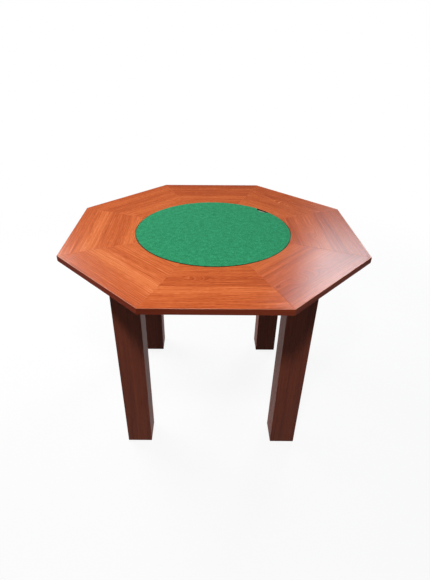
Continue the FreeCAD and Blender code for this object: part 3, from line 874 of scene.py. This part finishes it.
def makeNuts():
    # hexagon radius = half width / cos(angle from the flat), cut by a 30 degree cone at both ends
    look = nutLook
    turns = ring(look["columns"])
    half = look["width"] / 2
    hexagon = half / np.cos(np.mod(turns, math.pi / 3) - math.pi / 6)
    rise = np.array(look["rise"])
    slope = math.tan(math.radians(look["chamferTurn"]))
    cone = np.minimum(hexagon, half - look["chamferIn"] + rise[:, None] / slope)
    bore = np.full_like(turns, boltLook["radius"] + look["play"])
    deep = look["boreChamfer"]
    start, end = nutStart, nutEnd
    out = np.concatenate([bore, bore + deep, cone, cone[::-1], bore + deep, bore])
    heights = np.concatenate([[start + deep, start], start + rise, end - rise[::-1], [end, end - deep]])
    points = copies(out, turns, heights[:, None], (), boltPlaces, diagonals, upright)
    quads = closedGrid(*out.shape)[0]
    ends = np.arange(out.shape[1])
    onward = (ends + 1) % out.shape[1]
    last = (out.shape[0] - 1) * out.shape[1]
    bores = np.stack([last + ends, last + onward, onward, ends], -1)  # the wall of the bore
    steelPiece("chamfered_nuts", points, [np.concatenate([quads, bores])], "hanger_nuts")


screwLook = {
    "radius": 0.0020,
    "length": 0.0120,
    "pitch": 0.0018,
    "threadDepth": 0.0006,
    "tip": 0.0002,
    "tipSlope": 0.7,
    "shankRows": 26,
    "headRadius": 0.0040,
    "headHeight": 0.0024,
    "headRows": (0.06, 0.12, 0.18, 0.25, 0.32, 0.40, 0.48, 0.56, 0.64, 0.74, 0.84, 0.92, 0.97, 1.0),
    "recessDepth": 0.0015,
    "recessReach": 0.0023,
    "recessHalf": 0.00055,
    "columns": 40,
    "wingIn": 0.020,  # metres from the end of a corner bracket's wing
    "angleAlong": (-0.1, 0.1),  # the angle brackets' places along an apron
    "angleIn": 0.0135,  # metres from the corner of an angle bracket, on both of its legs
}


def makeScrews(name, places, ahead, sideways, replaced):
    # head: height * (1 - share^4)^(1/2), less a cross recess that tapers along its arms
    # shank: radius less thread, and a point
    look = screwLook
    turns = ring(look["columns"])
    share = np.array(look["headRows"])[:, None]
    dome = look["headHeight"] * np.sqrt(np.maximum(1 - share ** 4, 0))
    x, y = look["headRadius"] * share * np.cos(turns), look["headRadius"] * share * np.sin(turns)

    def arm(lengthways, crossways):
        wide = np.clip(1 - (np.abs(crossways) / look["recessHalf"]) ** 4, 0, 1)
        return wide * np.clip(1 - (lengthways / look["recessReach"]) ** 2, 0, 1)

    recess = look["recessDepth"] * np.maximum(arm(x, y), arm(y, x))
    shank = np.linspace(0, look["length"], look["shankRows"])[:, None]
    ridge = threadRidge(shank, turns, look["pitch"]) ** 2
    shankOut = look["radius"] - look["threadDepth"] * (1 - ridge)
    shankOut = np.minimum(shankOut, look["tip"] + look["tipSlope"] * (look["length"] - shank))
    out = np.concatenate([look["headRadius"] * share * np.ones_like(turns), shankOut])
    heights = np.concatenate([recess - dome, shank * np.ones_like(turns)])
    poles = (look["recessDepth"] - look["headHeight"], look["length"])
    points = copies(out, turns, heights, poles, places, ahead, sideways)
    steelPiece(name, points, closedGrid(*out.shape), replaced)


def fourSides(point, direction):
    # the same point and direction at all four sides of the apron frame
    x, y, z = point
    dx, dy, dz = direction
    points = [(x, y, z), (-y, x, z), (-x, -y, z), (y, -x, z)]
    return points, [(dx, dy, dz), (-dy, dx, dz), (-dx, -dy, dz), (dy, -dx, dz)]


def gather(rows):
    places, ahead, sideways = [], [], []
    for point, direction in rows:
        points, directions = fourSides(point, direction)
        places += points
        ahead += directions
        sideways += [(0, 0, 1) if direction[2] == 0 else (1, 0, 0)] * len(points)
    return places, ahead, sideways


# screws of the back apron: the far sides of their boxes are their points, a length from under the heads
outward, upward = (0, 1, 0), (0, 0, 1)
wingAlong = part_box("corner_bracket_back_right")[0].x + screwLook["wingIn"]
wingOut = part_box("corner_bracket_screws")[1].y - screwLook["length"]
wingScrews = [((x, wingOut, z), outward) for x in (-wingAlong, wingAlong) for z in boltHeights]
apronFace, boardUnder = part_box("apron_back")[0].y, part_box("base_board")[0].z
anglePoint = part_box("angle_bracket_screws")[1]
angleScrews = []
for x in screwLook["angleAlong"]:
    intoApron = (x, anglePoint.y - screwLook["length"], boardUnder - screwLook["angleIn"])
    intoBoard = (x, apronFace - screwLook["angleIn"], anglePoint.z - screwLook["length"])
    angleScrews += [(intoApron, outward), (intoBoard, upward)]
makeBolts()
makeNuts()
makeScrews("cross_head_bracket_screws", *gather(wingScrews), "corner_bracket_screws")
makeScrews("cross_head_angle_screws", *gather(angleScrews), "angle_bracket_screws")
print("brackets and fasteners in place")


# Stage, light and camera

stageLook = {
    "half": 12.0,  # of the floor, in metres
    "glow": 0.90,  # share of the floor's white that doesn't depend on the lamps
    "clear": (1.3, 2.6),  # metres from the middle, where the floor starts and ends fading to white
    "bounce": (0.15, 0.16, 0.165),  # colour of the floor as the lamps see it
    "ambient": 0.055,
    "shade": (0.86, 0.97, 1.05),  # colour of the light in the shadows
    "horizon": (0.0, 0.12),  # how far up the white of the room reaches in a gloss
    "ceiling": 0.055,  # what a gloss shows of the room high above the floor
}
white = (1, 1, 1, 1)


def paleFloor(start):
    place = turnedPlace(start)
    distance = start.node("VectorMath", {"operation": "LENGTH"}, {0: place}, "Value")
    fade = between(distance, *stageLook["clear"], stageLook["glow"], 1.0)
    lit = start.node("BsdfDiffuse", {}, {"Color": white})
    glow = start.node("Emission", {}, {"Color": white, "Strength": 1.0})
    shown = start.node("MixShader", {}, {0: fade, 1: lit, 2: glow})
    bounce = start.node("BsdfDiffuse", {}, {"Color": (*stageLook["bounce"], 1)})
    rays = start.node("LightPath", output="Is Camera Ray")
    seen = rays.maths("MAXIMUM", rays, rays.also("Is Glossy Ray"))
    seen = rays.maths("MAXIMUM", seen, rays.also("Is Transmission Ray"))
    return start.node("MixShader", {}, {0: seen, 1: bounce, 2: shown})


half = stageLook["half"]
floorMesh = bpy.data.meshes.new("floor")
floorCorners = [(-half, -half, 0), (half, -half, 0), (half, half, 0), (-half, half, 0)]
floorMesh.from_pydata(floorCorners, [], [(0, 1, 2, 3)])
floor = bpy.data.objects.new("floor", floorMesh)
bpy.context.scene.collection.objects.link(floor)
floorMesh.materials.append(newMaterial("pale_floor", paleFloor))

world = bpy.data.worlds.new("studio")
bpy.context.scene.world = world
world.use_nodes = True
world.node_tree.nodes.clear()
sky = Wire(world.node_tree)
ray = sky.node("TexCoord", output="Generated")
height = sky.node("SeparateXYZ", {}, {"Vector": ray}).also("Z")
dusk = between(height, *stageLook["horizon"], 1.0, stageLook["ceiling"])  # white low down, dim above
rays = sky.node("LightPath", output="Is Camera Ray")
shown = rays.maths("MAXIMUM", rays, rays.also("Is Transmission Ray"))
mirrored = rays.also("Is Glossy Ray")
rest = 1 - rays.maths("MAXIMUM", shown, mirrored)
skyStrength = shown + mirrored * dusk + rest * stageLook["ambient"]
skyColour = mixColour(rest, white, (*stageLook["shade"], 1))
backdrop = sky.node("Background", {}, {"Color": skyColour, "Strength": skyStrength})
sky.node("OutputWorld", {}, {"Surface": backdrop})

# soft lamps: place, what it points at, width and height, watts and colour
lamps = {
    "key": ((-0.12, -1.30, 2.12), (0.0, -0.1, 0.70), (0.22, 0.22), 17.6, (1.0, 1.0, 1.0)),
    "fill": ((-1.67, 1.18, 2.14), (-0.2, 0.0, 0.60), (1.6, 1.6), 53.0, (1.0, 1.0, 1.0)),
    "window": ((1.42, 2.32, 2.79), (0.35, -0.15, 0.75), (0.86, 1.52), 43.2, (0.90, 0.945, 1.0)),
}
for name, (place, target, size, watts, colour) in lamps.items():
    light = bpy.data.lights.new(name, "AREA")
    light.shape = "RECTANGLE"
    light.size, light.size_y = size
    light.energy = watts
    light.color = colour
    lamp = bpy.data.objects.new(name, light)
    lamp.location = place
    lamp.rotation_euler = (Vector(target) - Vector(place)).to_track_quat("-Z", "Y").to_euler()
    lamp.visible_camera = False
    bpy.context.scene.collection.objects.link(lamp)

cameraLook = {
    "place": (-0.0319, -1.4012, 1.3705),
    "pitch": 32.89,  # degrees below level
    "yaw": -0.32,
    "roll": 0.20,
    "lens": 26.24,
    "sensor": 36.0,  # the long side of the picture
    "shift": (0.0231, 0.0116),
}
pitch, yaw, roll = (math.radians(cameraLook[name]) for name in ("pitch", "yaw", "roll"))
ahead = Vector((math.sin(yaw) * math.cos(pitch), math.cos(yaw) * math.cos(pitch), -math.sin(pitch)))
level = Vector((math.cos(yaw), -math.sin(yaw), 0))
above = level.cross(ahead)
right = level * math.cos(roll) + above * math.sin(roll)
up = right.cross(ahead)
camera = bpy.data.objects.new("camera", bpy.data.cameras.new("camera"))
camera.matrix_world = Matrix((right, up, -ahead)).transposed().to_4x4()
camera.location = cameraLook["place"]
camera.data.lens = cameraLook["lens"]
camera.data.sensor_width = cameraLook["sensor"]
camera.data.shift_x, camera.data.shift_y = cameraLook["shift"]
bpy.context.scene.collection.objects.link(camera)
bpy.context.scene.camera = camera
bpy.context.scene.view_settings.view_transform = "Standard"
print("stage, lamps and camera set")
